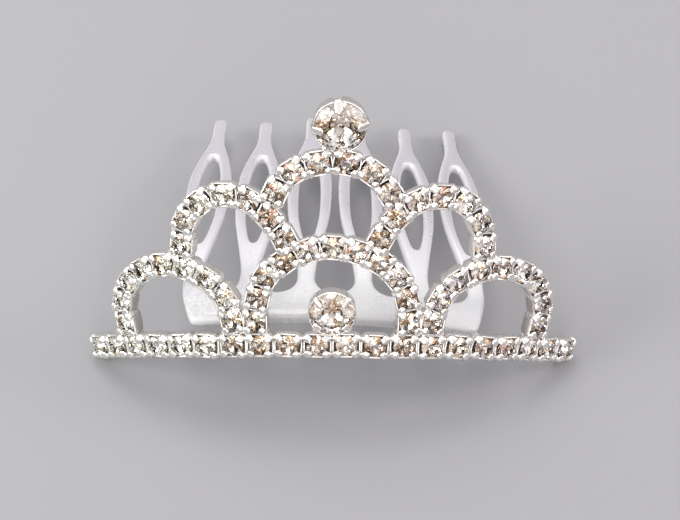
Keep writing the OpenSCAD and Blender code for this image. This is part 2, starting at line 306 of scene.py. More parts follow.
def places(points, pitches):
    """Evenly spaced places along a centreline, both its ends included."""
    q = smooth_curve(points, PATH_STEPS)
    lengths = np.linalg.norm(np.diff(wall_point(q), axis=0), axis=1)
    walked = np.concatenate([[0], np.cumsum(lengths)])
    at = np.linspace(0, walked[-1], pitches + 1)
    return np.stack([np.interp(at, walked, q[:, 0]), np.interp(at, walked, q[:, 1])], -1)


def mirrored(points):
    """The same places on the other side of the middle, in the same order from left to right."""
    return np.asarray(points)[::-1] * [-1, 1]


def frames_of(centres, ahead, facing):
    """Right-handed frames as (centres, axes), whose rows of axes are along, across and facing."""
    across = unit(np.cross(facing, ahead))
    along = np.cross(across, facing)
    return centres, np.stack([along, across, facing], 1)


def cup_frames(chain):
    """One frame for each place of a chain, its first axis along the chain."""
    points = wall_point(chain)
    before = np.vstack([points[:1], points[:-1]])
    after = np.vstack([points[1:], points[-1:]])
    return frames_of(points, after - before, directions(chain[:, 0])[2])


def between_frames(chain):
    """One frame for each gap of a chain, halfway between two places, and the gaps' lengths."""
    points = wall_point(chain)
    facing = directions(chain[:, 0])[2]
    step = points[1:] - points[:-1]
    centres, axes = frames_of((points[1:] + points[:-1]) / 2, step, unit(facing[1:] + facing[:-1]))
    return centres, axes, np.linalg.norm(step, axis=1)


def big_frame(s, t, lean):
    """The frame of a big setting, which stands a little forward of the wall and leans forward."""
    centres, axes = cup_frames(np.array([[s - 1, t], [s, t], [s + 1, t]]))
    along, across, facing = axes[1]
    leaned = [along, np.cos(lean) * across + np.sin(lean) * facing,
              np.cos(lean) * facing - np.sin(lean) * across]
    return (centres[1] + BIG_FORWARD * facing)[None], np.array([leaned])


def shaken(frames, rng):
    """Frames turned and shifted a little at random, as cups that were set by hand.

    A small turn adds to each axis a share of the other two, and is then made square again.
    """
    centres, axes = frames
    count = len(centres)
    x, y, z = (rng.normal(size=(count, 3)) * CUP_TURNS).T
    zero = np.zeros(count)
    turn = np.eye(3) + np.stack([zero, z, -y, -z, zero, x, y, -x, zero], -1).reshape(-1, 3, 3)
    turn[:, 0] = unit(turn[:, 0])
    turn[:, 2] = unit(np.cross(turn[:, 0], turn[:, 1]))
    turn[:, 1] = np.cross(turn[:, 2], turn[:, 0])
    return centres + rng.normal(size=(count, 3)) * CUP_SHIFT, turn @ axes


def cups_of(chain, ends, rng):
    """The frames of the cups of a chain, without its two ends where those lie on other cups."""
    centres, axes = shaken(cup_frames(chain), rng)
    return (centres, axes) if ends else (centres[1:-1], axes[1:-1])


def joined(shapes):
    """Several (points, faces) as one."""
    points, faces, start = [], [], 0
    for p, f in shapes:
        points.append(p)
        faces.extend([[i + start for i in face] for face in f])
        start += len(p)
    return np.vstack(points), faces


def stamped(shape, frames):
    """A (points, faces) shape repeated at each frame: centre + x along + y across + z facing."""
    points, faces = shape
    centres, axes = frames
    placed = centres[:, None, :] + np.einsum("pk,nkc->npc", points, axes)
    starts = np.arange(len(centres)) * len(points)
    return placed.reshape(-1, 3), [[i + s for i in face] for s in starts for face in faces]


def stretched(shape, by):
    """A (points, faces) shape with its points multiplied along X, Y and Z."""
    return shape[0] * by, shape[1]


def net(rows, columns):
    """Four-sided faces of a grid of points, whose columns close on themselves."""
    r = np.arange(rows - 1)[:, None]
    c = np.arange(columns)[None, :]
    after = (c + 1) % columns
    quads = np.stack(np.broadcast_arrays(
        r * columns + c, r * columns + after, (r + 1) * columns + after, (r + 1) * columns + c
    ), -1)
    return quads.reshape(-1, 4).tolist()


def closed_tube(rings, sides):
    """Faces of a tube of so many rings: four-sided ones round it, and one over each end."""
    return net(rings, sides) + [list(range(sides))[::-1], [(rings - 1) * sides + k for k in range(sides)]]


def squarish(angle, power):
    """Radius of a rounded square of half width 1: (|cos a| ^ power + |sin a| ^ power) ^ (-1 / power).

    It is a circle at power 2, and comes near a sharp square far above.
    """
    return (np.abs(np.cos(angle)) ** power + np.abs(np.sin(angle)) ** power) ** (-1 / power)


def cup():
    """A square cup of thin sheet: a profile carried round, half width times a rounded square's radius.

    Its rim is straight along the chain's sides, and dips at the ends that face the next cups. The
    stone sits on a narrow ledge inside the rim. The last thing returned is each point's painted shade,
    darkest deep inside the cup and half as dark on its foot and lower outer wall.
    """
    half = CUP_W / 2
    inner = half - CUP_WALL
    rim = CUP_RIM_Z + CUP_RIM_UP
    # Rows of [half width, height, squareness, part of the dip, how dark its painted shade], from the foot
    # round the rim
    profile = np.array([
        [0, -CUP_D, 4, 0, 0.5], [0.6 * half, -CUP_D, 4, 0, 0.5], [0.82 * half, -CUP_D, 4.5, 0, 0.5],
        [0.9 * half, 0.12 - CUP_D, 5, 0, 0.5], [0.95 * half, 0.5 - CUP_D, 5, 0.1, 0.45],
        [half, -0.45, 5.5, 0.8, 0.3], [half, rim - 0.04, 5.5, 1, 0], [half - 0.04, rim, 5.5, 1, 0],
        [inner + 0.03, rim, 5, 1, 0], [inner, rim - 0.04, 4.5, 1, 0], [inner, -0.12, 4.5, 0.6, 0.15],
        [0.9 * inner, -0.17, 3, 0.3, 0.15], [0.85 * inner, -0.3, 3, 0.2, 0.6],
        [0.8 * inner, -0.6, 2.5, 0, 1], [0.55 * inner, -1.0, 2, 0, 1], [0, -1.25, 2, 0, 1],
    ])
    angle = np.linspace(0, 2 * np.pi, CUP_SIDES, endpoint=False)[None, :]
    reach, height, power, dip, recess_shade = (profile[:, k, None] for k in range(5))
    r = reach * squarish(angle, power)
    # The dip sets in smoothly towards the two ends, where the squared cosine goes from 0.55 to 0.85
    low = np.clip((np.abs(np.cos(angle)) ** 2 - 0.55) / 0.3, 0, 1)
    z = height - RIM_DIP * dip * low * low * (3 - 2 * low)
    points = np.stack(np.broadcast_arrays(r * np.cos(angle), r * np.sin(angle), z), -1)
    return points.reshape(-1, 3), net(len(profile), angle.size), np.broadcast_to(recess_shade, r.shape).ravel()


def finger(path, width, thick, sides=8):
    """A flattened bar along a path in the plane y = 0: ellipse sections across [x, z] points.

    Width and thickness are given at each point of the path, and its ends are closed.
    """
    p = np.asarray(path, float)
    ahead = unit(np.gradient(p, axis=0))
    over = np.stack([-ahead[:, 1], ahead[:, 0]], -1)
    v = np.linspace(0, 2 * np.pi, sides, endpoint=False)[None, :, None]
    flat = np.cos(v) * np.array([0, 1, 0]) * np.asarray(width)[:, None, None] / 2
    lift = np.stack([over[:, 0], np.zeros(len(p)), over[:, 1]], -1)[:, None, :]
    lift = -np.sin(v) * lift * np.asarray(thick)[:, None, None] / 2
    centre = np.stack([p[:, 0], np.zeros(len(p)), p[:, 1]], -1)[:, None, :]
    points = centre + flat + lift
    return points.reshape(-1, 3), closed_tube(len(p), sides)


def fullness(u, middle, half, power, least):
    """How full a claw is at a share u of its length: the root of 1 - ((u - middle) / half) ^ power."""
    return np.sqrt(np.clip(1 - ((u - middle) / half) ** power, least, 1))


def about_z(angles):
    """Matrices that turn rows of points by each angle about Z."""
    c, s, zero, one = np.cos(angles), np.sin(angles), np.zeros(len(angles)), np.ones(len(angles))
    return np.stack([c, s, zero, -s, c, zero, zero, zero, one], -1).reshape(-1, 3, 3)


def turned(shape, angles):
    """A shape repeated about Z at each angle."""
    points, faces = shape
    return joined([(points @ turn, faces) for turn in about_z(angles)])


def claws():
    """Four claws at a cup's corners: each stands on the corner and bends down over the stone."""
    path = smooth_curve(CLAW_PATH, CLAW_STEPS)
    u = np.linspace(0, 1, len(path))
    width = CLAW_W * (1 - 0.1 * u) * fullness(u, 0.42, 0.59, 6, 0.02)
    thick = CLAW_T * fullness(u, 0.48, 0.54, 8, 0.05)
    return turned(finger(path, width, thick), np.radians(45 + QUARTERS))


def bar(length):
    """A bar that joins two cups at the back: a rounded square's outline, stretched, at places along X."""
    x = np.array([-0.5, -0.5, 0.5, 0.5]) * length
    size = np.array([0.8, 1, 1, 0.8])
    angle = np.linspace(0, 2 * np.pi, 16, endpoint=False)
    r = squarish(angle, 4)
    y = r * np.cos(angle) * BAR_W / 2
    z = r * np.sin(angle) * BAR_T / 2
    points = np.stack(np.broadcast_arrays(
        x[:, None], size[:, None] * y, size[:, None] * z + BAR_IN - CUP_D + BAR_T / 2
    ), -1)
    return points.reshape(-1, 3), closed_tube(len(x), angle.size)


def big_setting(diameter, first_angle, claw_width, claw_reach):
    """A round setting: a profile turned about Z, with a thin bright rim, and four claws on it.

    The first claw's angle is in degrees. The last thing returned is each point's painted shade, darkest
    deep inside the setting and half as dark on its foot and lower outer wall.
    """
    r = diameter / 2
    outer = r + BIG_WALL
    foot = BIG_FOOT_PART * outer
    rim = CUP_RIM_Z + CUP_RIM_UP
    # Rows of [radius, height, how dark its painted shade], from the foot round the rim
    profile = np.array([
        [0, -BIG_D, 0.5], [foot - 0.1, -BIG_D, 0.5], [foot, 0.08 - BIG_D, 0.5],
        [outer - 0.1, -0.12 - BIG_WALL_H, 0.5], [outer - 0.01, 0.02 - BIG_WALL_H, 0.45],
        [outer, 0.2 - BIG_WALL_H, 0.4], [outer, -0.35, 0.3], [outer, rim - 0.2, 0],
        [outer, rim - 0.05, 0], [outer - 0.05, rim, 0], [r + 0.06, rim, 0], [r + 0.02, rim - 0.04, 0.1],
        [r + 0.02, -0.2, 0.7], [0.9 * r, -0.7, 1], [0.4 * r, -2.0, 1], [0, -2.35, 1],
    ])
    angle = np.linspace(0, 2 * np.pi, BIG_SIDES, endpoint=False)[None, :]
    reach, height, recess_shade = (profile[:, k, None] for k in range(3))
    wall = np.stack(np.broadcast_arrays(reach * np.cos(angle), reach * np.sin(angle), height), -1)
    path = smooth_curve([
        [outer - 0.02, -1.3], [outer + 0.08, -0.6], [outer + 0.1, 0], [outer - 0.04, 0.34],
        [outer - 0.45, 0.62], [outer - 0.85, 0.88], [outer - claw_reach, 0.88 + 0.7 * (claw_reach - 0.85)],
    ], CLAW_STEPS)
    u = np.linspace(0, 1, len(path))
    width = claw_width * (1 - 0.2 * u) * fullness(u, 0.42, 0.585, 10, 0.02)
    thick = BIG_CLAW_T * fullness(u, 0.48, 0.54, 8, 0.05)
    claw_set = turned(finger(path, width, thick), np.radians(first_angle + QUARTERS))
    recess_shade = np.concatenate([np.broadcast_to(recess_shade, wall.shape[:2]).ravel(), np.zeros(len(claw_set[0]))])
    return *joined([(wall.reshape(-1, 3), net(len(profile), angle.size)), claw_set]), recess_shade


def cut_stone(diameter, girdle_steps):
    """A brilliant: table, stars, kites and halves above the girdle, halves and mains below it.

    Each kite lies in the plane that holds its table corner and its girdle point, square to the
    radius there. Returns points, faces and, for each face, 0 above the girdle and 1 below.
    """
    r = diameter / 2
    high, girdle, deep = CROWN_PART * diameter, GIRDLE_PART * diameter, POINT_PART * diameter
    half_turn = np.pi / MAINS
    crown_slope = (high - girdle) / (r * (1 - TABLE_PART))
    low_slope = (deep - girdle) / r
    star_z = girdle + (r - STAR_PART * r * np.cos(half_turn)) * crown_slope
    low_z = -girdle - (r - LOW_PART * r * np.cos(half_turn)) * low_slope
    n = 2 * MAINS * girdle_steps

    def ring(count, phase, radius, z):
        a = 2 * np.pi * (np.arange(count) + phase) / count
        return np.stack([radius * np.cos(a), radius * np.sin(a), np.full(count, z)], -1)

    points = np.vstack([
        ring(MAINS, 0, TABLE_PART * r, high), ring(MAINS, 0.5, STAR_PART * r, star_z), ring(n, 0, r, girdle),
        ring(n, 0, r, -girdle), ring(MAINS, 0.5, LOW_PART * r, low_z), [[0, 0, -deep]],
    ])
    table, star, top = 0, MAINS, 2 * MAINS
    bottom, low, point = top + n, top + 2 * n, top + 2 * n + MAINS
    faces = [[table + k for k in range(MAINS)]]
    for k in range(MAINS):
        after, before = (k + 1) % MAINS, (k - 1) % MAINS
        corner = 2 * girdle_steps * k
        faces.append([table + after, table + k, star + k])
        faces.append([table + k, star + before, top + corner, star + k])
        for half in (0, 1):
            arc = [top + (corner + half * girdle_steps + j) % n for j in range(girdle_steps + 1)]
            faces.append([star + k, *arc])
    faces += [[bottom + k, bottom + (k + 1) % n, top + (k + 1) % n, top + k] for k in range(n)]
    above = len(faces)
    for k in range(MAINS):
        before = (k - 1) % MAINS
        corner = 2 * girdle_steps * k
        faces.append([point, low + k, bottom + corner, low + before])
        for half in (0, 1):
            arc = [bottom + (corner + half * girdle_steps + j) % n for j in range(girdle_steps + 1)]
            faces.append([low + k, *arc[::-1]])
    return points, faces, np.arange(len(faces)) >= above


def comb_placed(points):
    """Points of the flat comb [across, along, up from its middle] in their place on the part.

    Bowed on a cylinder about Y, rolled about Y, sloped about X, turned about Z, moved behind the row, and
    raised until the underside of the right outer tooth's tip is on the floor.
    """
    x, y, z = points.T
    mid = COMB_T / 2 - COMB_BOW
    z = mid + np.sqrt((COMB_BOW - COMB_T / 2 + z) ** 2 - x ** 2)
    x, z = x * np.cos(COMB_ROLL) + z * np.sin(COMB_ROLL), z * np.cos(COMB_ROLL) - x * np.sin(COMB_ROLL)
    y, z = y * np.cos(COMB_SLOPE) + z * np.sin(COMB_SLOPE), z * np.cos(COMB_SLOPE) - y * np.sin(COMB_SLOPE)
    x, y = x * np.cos(COMB_TURN) - y * np.sin(COMB_TURN), x * np.sin(COMB_TURN) + y * np.cos(COMB_TURN)
    tip_x = OUTER_TOOTH * TOOTH_PITCH - np.sin(OUTER_TOOTH * TOOTH_LEAN) * (COMB_L - SLOT_FROM) + TIP_W / 2
    under = mid + np.sqrt((COMB_BOW - COMB_T) ** 2 - tip_x ** 2)
    rise = COMB_L * np.sin(COMB_SLOPE) - (
        under * np.cos(COMB_ROLL) - tip_x * np.sin(COMB_ROLL)) * np.cos(COMB_SLOPE)
    return np.stack([x + COMB_X, y + ROW_Y + COMB_FRONT_Y, z + rise], -1)


def at_tooth(points, k):
    """Flat points [across, along] of a tooth moved to its root and leaned to the middle.

    The second tooth from each side is a little shorter than the others.
    """
    part = SHORT_PART if abs(k) == OUTER_TOOTH - 1 else 1
    p = (np.asarray(points, float) - [0, SLOT_FROM]) * [1, part]
    c, s = np.cos(k * TOOTH_LEAN), np.sin(k * TOOTH_LEAN)
    return p @ np.array([[c, s], [-s, c]]) + [k * TOOTH_PITCH, SLOT_FROM]


def arc_points(centre, radius, start, end, steps):
    """Points along an arc, by its two angles in degrees."""
    a = np.radians(np.linspace(start, end, steps))
    return np.stack([centre[0] + radius * np.cos(a), centre[1] + radius * np.sin(a)], -1)


def resampled(loop):
    """A closed outline with its points evenly spaced along it, and its corners eased.

    Each easing moves every point half way to the middle of its two neighbours.
    """
    closed = np.vstack([loop, loop[:1]])
    walked = np.concatenate([[0], np.cumsum(np.linalg.norm(np.diff(closed, axis=0), axis=1))])
    count = int(walked[-1] / OUTLINE_STEP)
    at = np.linspace(0, walked[-1], count, endpoint=False)
    even = np.stack([np.interp(at, walked, closed[:, 0]), np.interp(at, walked, closed[:, 1])], -1)
    for _ in range(EASINGS):
        even = (np.roll(even, 1, 0) + 2 * even + np.roll(even, -1, 0)) / 4
    return even


def comb_outlines():
    """The comb's outer outline, anticlockwise, and the windows of its teeth, clockwise."""
    body = smooth_curve(BODY_SIDE, CURVE_STEPS)[:, ::-1]
    side = smooth_curve(TOOTH_SIDE, CURVE_STEPS)[:, ::-1]
    a = np.radians(np.linspace(0, 180, TIP_STEPS))[1:-1]
    tip = squarish(a, TIP_SQUARE)[:, None] * np.stack([np.cos(a), np.sin(a)], -1) * [TIP_W / 2, TIP_ROUND]
    tooth = np.vstack([side, tip + [0, COMB_L - TIP_ROUND], side[::-1] * [-1, 1]])
    reach = SLOT_W / 2 - SLOT_CORNER_R
    up = SLOT_FROM + SLOT_CORNER_R
    parts = [body]
    for k in TOOTH_PLACES[::-1]:
        parts.append(at_tooth(tooth, k))
        if k > -OUTER_TOOTH:
            middle = (k - 0.5) * TOOTH_PITCH
            parts.append(arc_points((middle + reach, up), SLOT_CORNER_R, 0, -90, CORNER_STEPS))
            parts.append(arc_points((middle - reach, up), SLOT_CORNER_R, -90, -180, CORNER_STEPS))
    parts.append(body[::-1] * [-1, 1])
    front = np.linspace(-FRONT_HALF, FRONT_HALF, FRONT_STEPS)
    parts.append(np.stack([front, np.zeros(FRONT_STEPS)], -1))
    window = smooth_curve(TOOTH_WINDOW, CURVE_STEPS)[:, ::-1]
    hole = np.vstack([window * [-1, 1], window[::-1][1:-1]])
    holes = [resampled(at_tooth(hole, k)) for k in TOOTH_PLACES]
    return resampled(np.vstack(parts)), holes


def inside(points, loop):
    """Which points lie inside an outline: a line to the right of each crosses it an odd number of times."""
    x, y = points[:, 0, None], points[:, 1, None]
    ax, ay = loop[:, 0], loop[:, 1]
    bx, by = np.roll(ax, -1), np.roll(ay, -1)
    spans = (ay > y) != (by > y)
    with np.errstate(divide="ignore", invalid="ignore"):
        crossing = ax + (y - ay) * (bx - ax) / (by - ay)
    return (spans & (x < crossing)).sum(1) % 2 == 1


def rounded_edge(loop):
    """The rounded edge along an outline: rings of points, and how far out each ring lies, from 0 to 1.

    It is a quarter circle above and below a short flat: inwards by EDGE_R (1 - cos a), up by EDGE_R sin a.
    """
    a = np.radians([0, 22, 45, 67, 90])
    inwards = EDGE_R * (1 - np.cos(a))
    height = COMB_T / 2 - EDGE_R + EDGE_R * np.sin(a)
    inwards = np.concatenate([inwards[::-1], inwards])
    height = np.concatenate([-height[::-1], height])
    ahead = unit(np.roll(loop, -1, 0) - np.roll(loop, 1, 0))
    normal = np.stack([-ahead[:, 1], ahead[:, 0]], -1)
    flat = loop[None] + inwards[:, None, None] * normal[None]
    up = np.broadcast_to(height[:, None, None], (*flat.shape[:2], 1))
    return np.concatenate([flat, up], -1), 1 - inwards / EDGE_R


def spanned(rims):
    """A grid of points inside the first closed line, and triangles that fill it outside the others.

    The triangles count the points of all the lines first, and the grid's after them.
    """
    rim = np.vstack(rims)
    gx, gy = np.meshgrid(np.arange(-GRID_ACROSS, GRID_ACROSS, GRID_STEP), np.arange(*GRID_ALONG, GRID_STEP))
    grid = np.stack([gx.ravel(), gy.ravel()], -1)
    gap = np.linalg.norm(grid[:, None] - rim[None], axis=-1).min(1)
    grid = grid[(gap > GRID_CLEAR) & inside(grid, rims[0])]
    points = np.vstack([rim, grid])
    edges, first = [], 0
    for line in rims:
        count = len(line)
        edges += [(first + k, first + (k + 1) % count) for k in range(count)]
        first += count
    only_inside, closest = 1, 1e-6
    made = delaunay_2d_cdt([Vector(p) for p in points], edges, [], only_inside, closest)
    triangles = np.array(made[2])
    middle = points[triangles].mean(1)
    keep = inside(middle, rims[0])
    for hole in rims[1:]:
        keep &= ~inside(middle, hole)
    return grid, triangles[keep]


def comb_surface():
    """The comb: a rounded edge along every outline, and two faces of triangles that span the rest.

    Returns points, faces and, for each point, how far out on the rounded edge it lies, from 0 to 1,
    and up to 2 where the two tines of a tooth meet, for the painted glow there.
    """
    outer, holes = comb_outlines()
    fork = [[0, TOOTH_WINDOW[-1][0]]]
    brighter = [np.zeros(len(outer))]
    # Window points near where the two tines meet get a painted glow
    for k, hole in zip(TOOTH_PLACES, holes):
        away = np.linalg.norm(hole - at_tooth(fork, k), axis=1)
        brighter.append(np.clip(FORK_GLOW_FROM - away / FORK_GLOW_SIZE, 0, 1))
    points, faces, edge, rims, low, high, start = [], [], [], [], [], [], 0
    for loop, bright in zip([outer, *holes], brighter):
        rings, outwards = rounded_edge(loop)
        count = len(loop)
        points.append(rings.reshape(-1, 3))
        edge.append(np.outer(outwards, 1 + bright).ravel())
        faces += [[i + start for i in face] for face in net(len(rings), count)]
        rims.append(rings[-1, :, :2])
        low.append(start + np.arange(count))
        start += len(rings) * count
        high.append(start - count + np.arange(count))
    grid, triangles = spanned(rims)
    for side, z in ((low, -COMB_T / 2), (high, COMB_T / 2)):
        points.append(np.column_stack([grid, np.full(len(grid), z)]))
        side.append(start + np.arange(len(grid)))
        start += len(grid)
    edge.append(np.zeros(2 * len(grid)))
    faces += np.concatenate(high)[triangles].tolist()
    faces += np.concatenate(low)[triangles][:, ::-1].tolist()
    return comb_placed(np.vstack(points)), faces, np.concatenate(edge)


def solder_drop(rng):
    """A flattened drop of solder: a sphere whose radius swells by random waves round its waist."""
    u = np.linspace(0, np.pi, 10)[:, None]
    v = np.linspace(0, 2 * np.pi, 16, endpoint=False)[None, :]
    swell = 1 + sum(
        rng.normal() * size * np.sin(u) ** 2 * np.cos(k * v + rng.uniform(0, 6)) for k, size in SOLDER_WAVES
    )
    x, y, z = SOLDER_SIZE / 2
    points = np.stack(np.broadcast_arrays(
        x * swell * np.sin(u) * np.cos(v), y * swell * np.sin(u) * np.sin(v), SOLDER_Z + z * np.cos(u)
    ), -1)
    return points.reshape(-1, 3), net(u.size, v.size)


def piece(name, shape, materials, slot, nodes, smooth=True, face_material=None, traits=None):
    """A piece of the object from (points in mm, faces), riding on the part's one body.

    A trait is an attribute that its materials read, with one number for each point or each face.
    """
    points, faces = shape
    mesh = bpy.data.meshes.new(name)
    mesh.from_pydata((np.asarray(points) * MM).tolist(), [], faces)
    for m in materials:
        mesh.materials.append(m)
    mesh.polygons.foreach_set("use_smooth", np.full(len(faces), smooth))
    if face_material is not None:
        mesh.polygons.foreach_set("material_index", np.asarray(face_material, np.int32))
    for trait, values in (traits or {}).items():
        domain = "POINT" if len(values) == len(points) else "FACE"
        mesh.attributes.new(trait, "FLOAT", domain).data.foreach_set("value", np.asarray(values, float))
    if smooth:
        # Points at one place, such as where a profile ends on its axis, become one
        work = bmesh.new()
        work.from_mesh(mesh)
        bmesh.ops.remove_doubles(work, verts=work.verts, dist=1e-7)
        work.to_mesh(mesh)
        work.free()
    mesh.update()
    thing = bpy.data.objects.new(name, mesh)
    bpy.context.scene.collection.objects.link(thing)
    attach(thing, "root")
    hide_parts(*nodes)
    return thing


def add_node(nodes, links, kind, inputs, settings):
    """A shader node with its settings and inputs, each a plain value or another node's output."""
    node = nodes.new("ShaderNode" + kind)
    for name, value in settings.items():
        setattr(node, name, value)
    for name, value in inputs.items():
        if isinstance(value, bpy.types.NodeSocket):
            links.new(value, node.inputs[name])
        else:
            node.inputs[name].default_value = value
    return node


class Material:
    """A material under construction: its nodes, its links and its Principled shader."""

    def __init__(self, name, **plain):
        self.made = bpy.data.materials.new(name)
        self.made.use_nodes = True
        self.nodes = self.made.node_tree.nodes
        self.links = self.made.node_tree.links
        self.shader = self.nodes["Principled BSDF"]
        for socket, value in plain.items():
            self.shader.inputs[socket.replace("_", " ").title().replace("Ior", "IOR")].default_value = value

    def feed(self, socket, output):
        """Links an output to the shader."""
        self.links.new(output, self.shader.inputs[socket])

    def add(self, kind, inputs=None, **settings):
        """A node with its settings, and its inputs as values or as other nodes' outputs."""
        return add_node(self.nodes, self.links, kind, inputs or {}, settings)

    def attribute(self, name):
        """One of the piece's own attributes."""
        return self.add("Attribute", attribute_name=name).outputs["Fac"]

    def maths(self, operation, a, b):
        """Two values put together by an operation."""
        return self.add("Math", {0: a, 1: b}, operation=operation).outputs["Value"]

    def ranged(self, value, start, end, low=0.0, high=1.0):
        """Low until a value reaches start, high from end on, and even steps between them."""
        return self.add("MapRange", {
            "Value": value, "From Min": start, "From Max": end, "To Min": low, "To Max": high,
        }).outputs["Result"]

    def mixed(self, share, a, b, blend_type="MIX"):
        """A colour mixed from two, each a tone or an output, by the second one's share."""
        a, b = ((*c, 1) if isinstance(c, tuple) else c for c in (a, b))
        node = self.add("Mix", {"Factor": share, "A": a, "B": b}, data_type="RGBA", blend_type=blend_type)
        return node.outputs["Result"]

    def ramp(self, value, stops, interpolation):
        """The colour at a value, from stops of (value, colour)."""
        node = self.add("ValToRGB", {"Fac": value})
        node.color_ramp.interpolation = interpolation
        elements = node.color_ramp.elements
        for k, (at, colour) in enumerate(stops):
            stop = elements[k] if k < 2 else elements.new(at)
            stop.position = at
            stop.color = (*colour, 1)
        return node.outputs["Color"]


def fine_wear():
    """A node group: cloudy patches and fine scratches, as a mask and as a height, from 0 to 1."""
    group = bpy.data.node_groups.new("fine_wear", "ShaderNodeTree")
    for name in ("Patch Scale", "Scratch Scale", "Scratches"):
        group.interface.new_socket(name=name, in_out="INPUT", socket_type="NodeSocketFloat")
    for name in ("Patches", "Height"):
        group.interface.new_socket(name=name, in_out="OUTPUT", socket_type="NodeSocketFloat")

    def add(kind, inputs=None, **settings):
        return add_node(group.nodes, group.links, kind, inputs or {}, settings)

    given = group.nodes.new("NodeGroupInput").outputs
    where = add("TexCoord").outputs["Object"]
    patches = add("TexNoise", {"Vector": where, "Scale": given["Patch Scale"], "Detail": 4.0}).outputs["Fac"]
    # Scratches are noise that is drawn out along one slanted direction
    drawn = add("Mapping", {"Vector": where, "Rotation": (0.5, 0.3, 0.8), "Scale": (1, 16, 4)})
    lines = add(
        "TexNoise", {"Vector": drawn.outputs["Vector"], "Scale": given["Scratch Scale"], "Detail": 2.0})
    sharp = add("MapRange", {"Value": lines.outputs["Fac"], "From Min": 0.52, "From Max": 0.7})
    depth = add("Math", {0: sharp.outputs["Result"], 1: given["Scratches"]}, operation="MULTIPLY")
    height = add("Math", {0: patches, 1: depth.outputs["Value"]}, operation="SUBTRACT")
    wide = add("MapRange", {"Value": patches, "From Min": 0.3, "From Max": 0.7})
    rougher = add("Math", {0: wide.outputs["Result"], 1: depth.outputs["Value"]}, operation="ADD")
    out = group.nodes.new("NodeGroupOutput")
    group.links.new(rougher.outputs["Value"], out.inputs["Patches"])
    group.links.new(height.outputs["Value"], out.inputs["Height"])
    return group


def worn(material, wear, rough, bump, patch_scale, scratch_scale, scratches):
    """Lets the shared wear group set a material's roughness between two values, and its bump, if any."""
    group = material.add(
        "Group", {"Patch Scale": patch_scale, "Scratch Scale": scratch_scale, "Scratches": scratches},
        node_tree=wear)
    material.feed("Roughness", material.ranged(group.outputs["Patches"], 0.0, 1.0, *rough))
    if bump:
        raised = material.add(
            "Bump", {"Height": group.outputs["Height"], "Strength": 1.0, "Distance": bump * MM})
        material.feed("Normal", raised.outputs["Normal"])


def row_light_colour(material):
    """The painted light colour along the row: a greenish cream on the left, brown in the middle, rosy on the
    right.
    """
    place = material.add("SeparateXYZ", {0: material.add("TexCoord").outputs["Object"]})
    across = material.ranged(place.outputs["X"], -ROW_END * MM, ROW_END * MM)
    return material.ramp(across, ROW_LIGHT_COLOURS, "LINEAR")


def silver(name, wear, bright, shade_tone, rough, bump):
    """Silver-tone plating: bright, with painted shade in its recesses, with patches and fine scratches, in
    the painted row light.
    """
    material = Material(name, metallic=1)
    # Painted shade: darker deep in the cups and settings and on their lower outer walls
    tone = material.mixed(material.attribute("recess_shade"), bright, shade_tone)
    # Painted light colour along the row, multiplied in
    material.feed("Base Color", material.mixed(1.0, tone, row_light_colour(material), "MULTIPLY"))
    worn(material, wear, rough, bump, patch_scale=900, scratch_scale=500, scratches=0.35)
    return material.made


def stone_glass():
    """Clear cut glass above the girdle."""
    return Material("stone_glass", base_color=(1, 1, 1, 1), transmission_weight=1, ior=1.56, roughness=0).made


def stone_foil():
    """The foiled back of a stone: a mirror, each facet in its own painted reflection shade, from white to
    olive brown.
    """
    material = Material("stone_foil", metallic=1, roughness=0.05)
    # Painted reflections: each facet's mirror has its own shade, white glints to dark brown, a few lavender
    # and salmon
    shades = material.ramp(material.attribute("facet_reflection"), FOIL_REFLECTIONS, "CONSTANT")
    # Painted light colour along the row, multiplied in
    material.feed("Base Color", material.mixed(1.0, shades, row_light_colour(material), "MULTIPLY"))
    return material.made


def white_specks(material, where, place):
    """Where the comb's body has white specks: round dots in clusters, fewer on the right."""
    cells = material.add("TexVoronoi", {"Vector": where, "Scale": SPECK_SCALE})
    clusters = material.add("TexNoise", {"Vector": where, "Scale": CLUSTER_SCALE})
    dots = material.ranged(cells.outputs["Distance"], 0.6, 0.42)
    dense = material.ranged(clusters.outputs["Fac"], 0.3, 0.44)
    in_body = material.ranged(place["Y"], *SPECKS_FROM)
    leftward = material.ranged(place["X"], *SPECKS_THIN, low=SPECKS_ON_RIGHT)
    zone = material.maths("MULTIPLY", in_body, leftward)
    return material.maths("MULTIPLY", material.maths("MULTIPLY", dots, dense), zone)


def frosted_plastic(wear):
    """Cloudy clear plastic with a glossy skin, pale edges of painted sheen, and fine white specks in the
    comb's body.

    Light gathers where the two tines of a tooth meet, and the plastic there is painted white as a painted
    glow.
    """
    material = Material(
        "frosted_plastic", transmission_weight=0.3, ior=1.45, coat_weight=0.6, coat_roughness=0.12)
    where = material.add("TexCoord").outputs["Object"]
    place = material.add("SeparateXYZ", {0: where}).outputs
    # Painted light and shade across the body: brightest in the middle, darker on the left
    body = material.ramp(material.ranged(place["X"], *BODY_SIDES), BODY_LIGHT_TONES, "LINEAR")
    cloudy = material.mixed(material.ranged(place["Y"], *TEETH_TO_BODY), TOOTH_TONE, body)
    edge = material.attribute("edge")
    # Painted sheen: the rounded edges are painted paler
    edge_sheened = material.mixed(material.ranged(edge, 0.2, 1.0, high=0.75), cloudy, RIM_SHEEN_TONE)
    # Painted glow: white where the two tines of a tooth meet, joined below with the white specks
    fork = material.ranged(edge, 1.0, 1.6)
    white = material.maths("MAXIMUM", fork, white_specks(material, where, place))
    material.feed("Base Color", material.mixed(white, edge_sheened, (1, 1, 1)))
    worn(material, wear, PLASTIC_ROUGH, bump=0, patch_scale=400, scratch_scale=250, scratches=0.1)
    return material.made


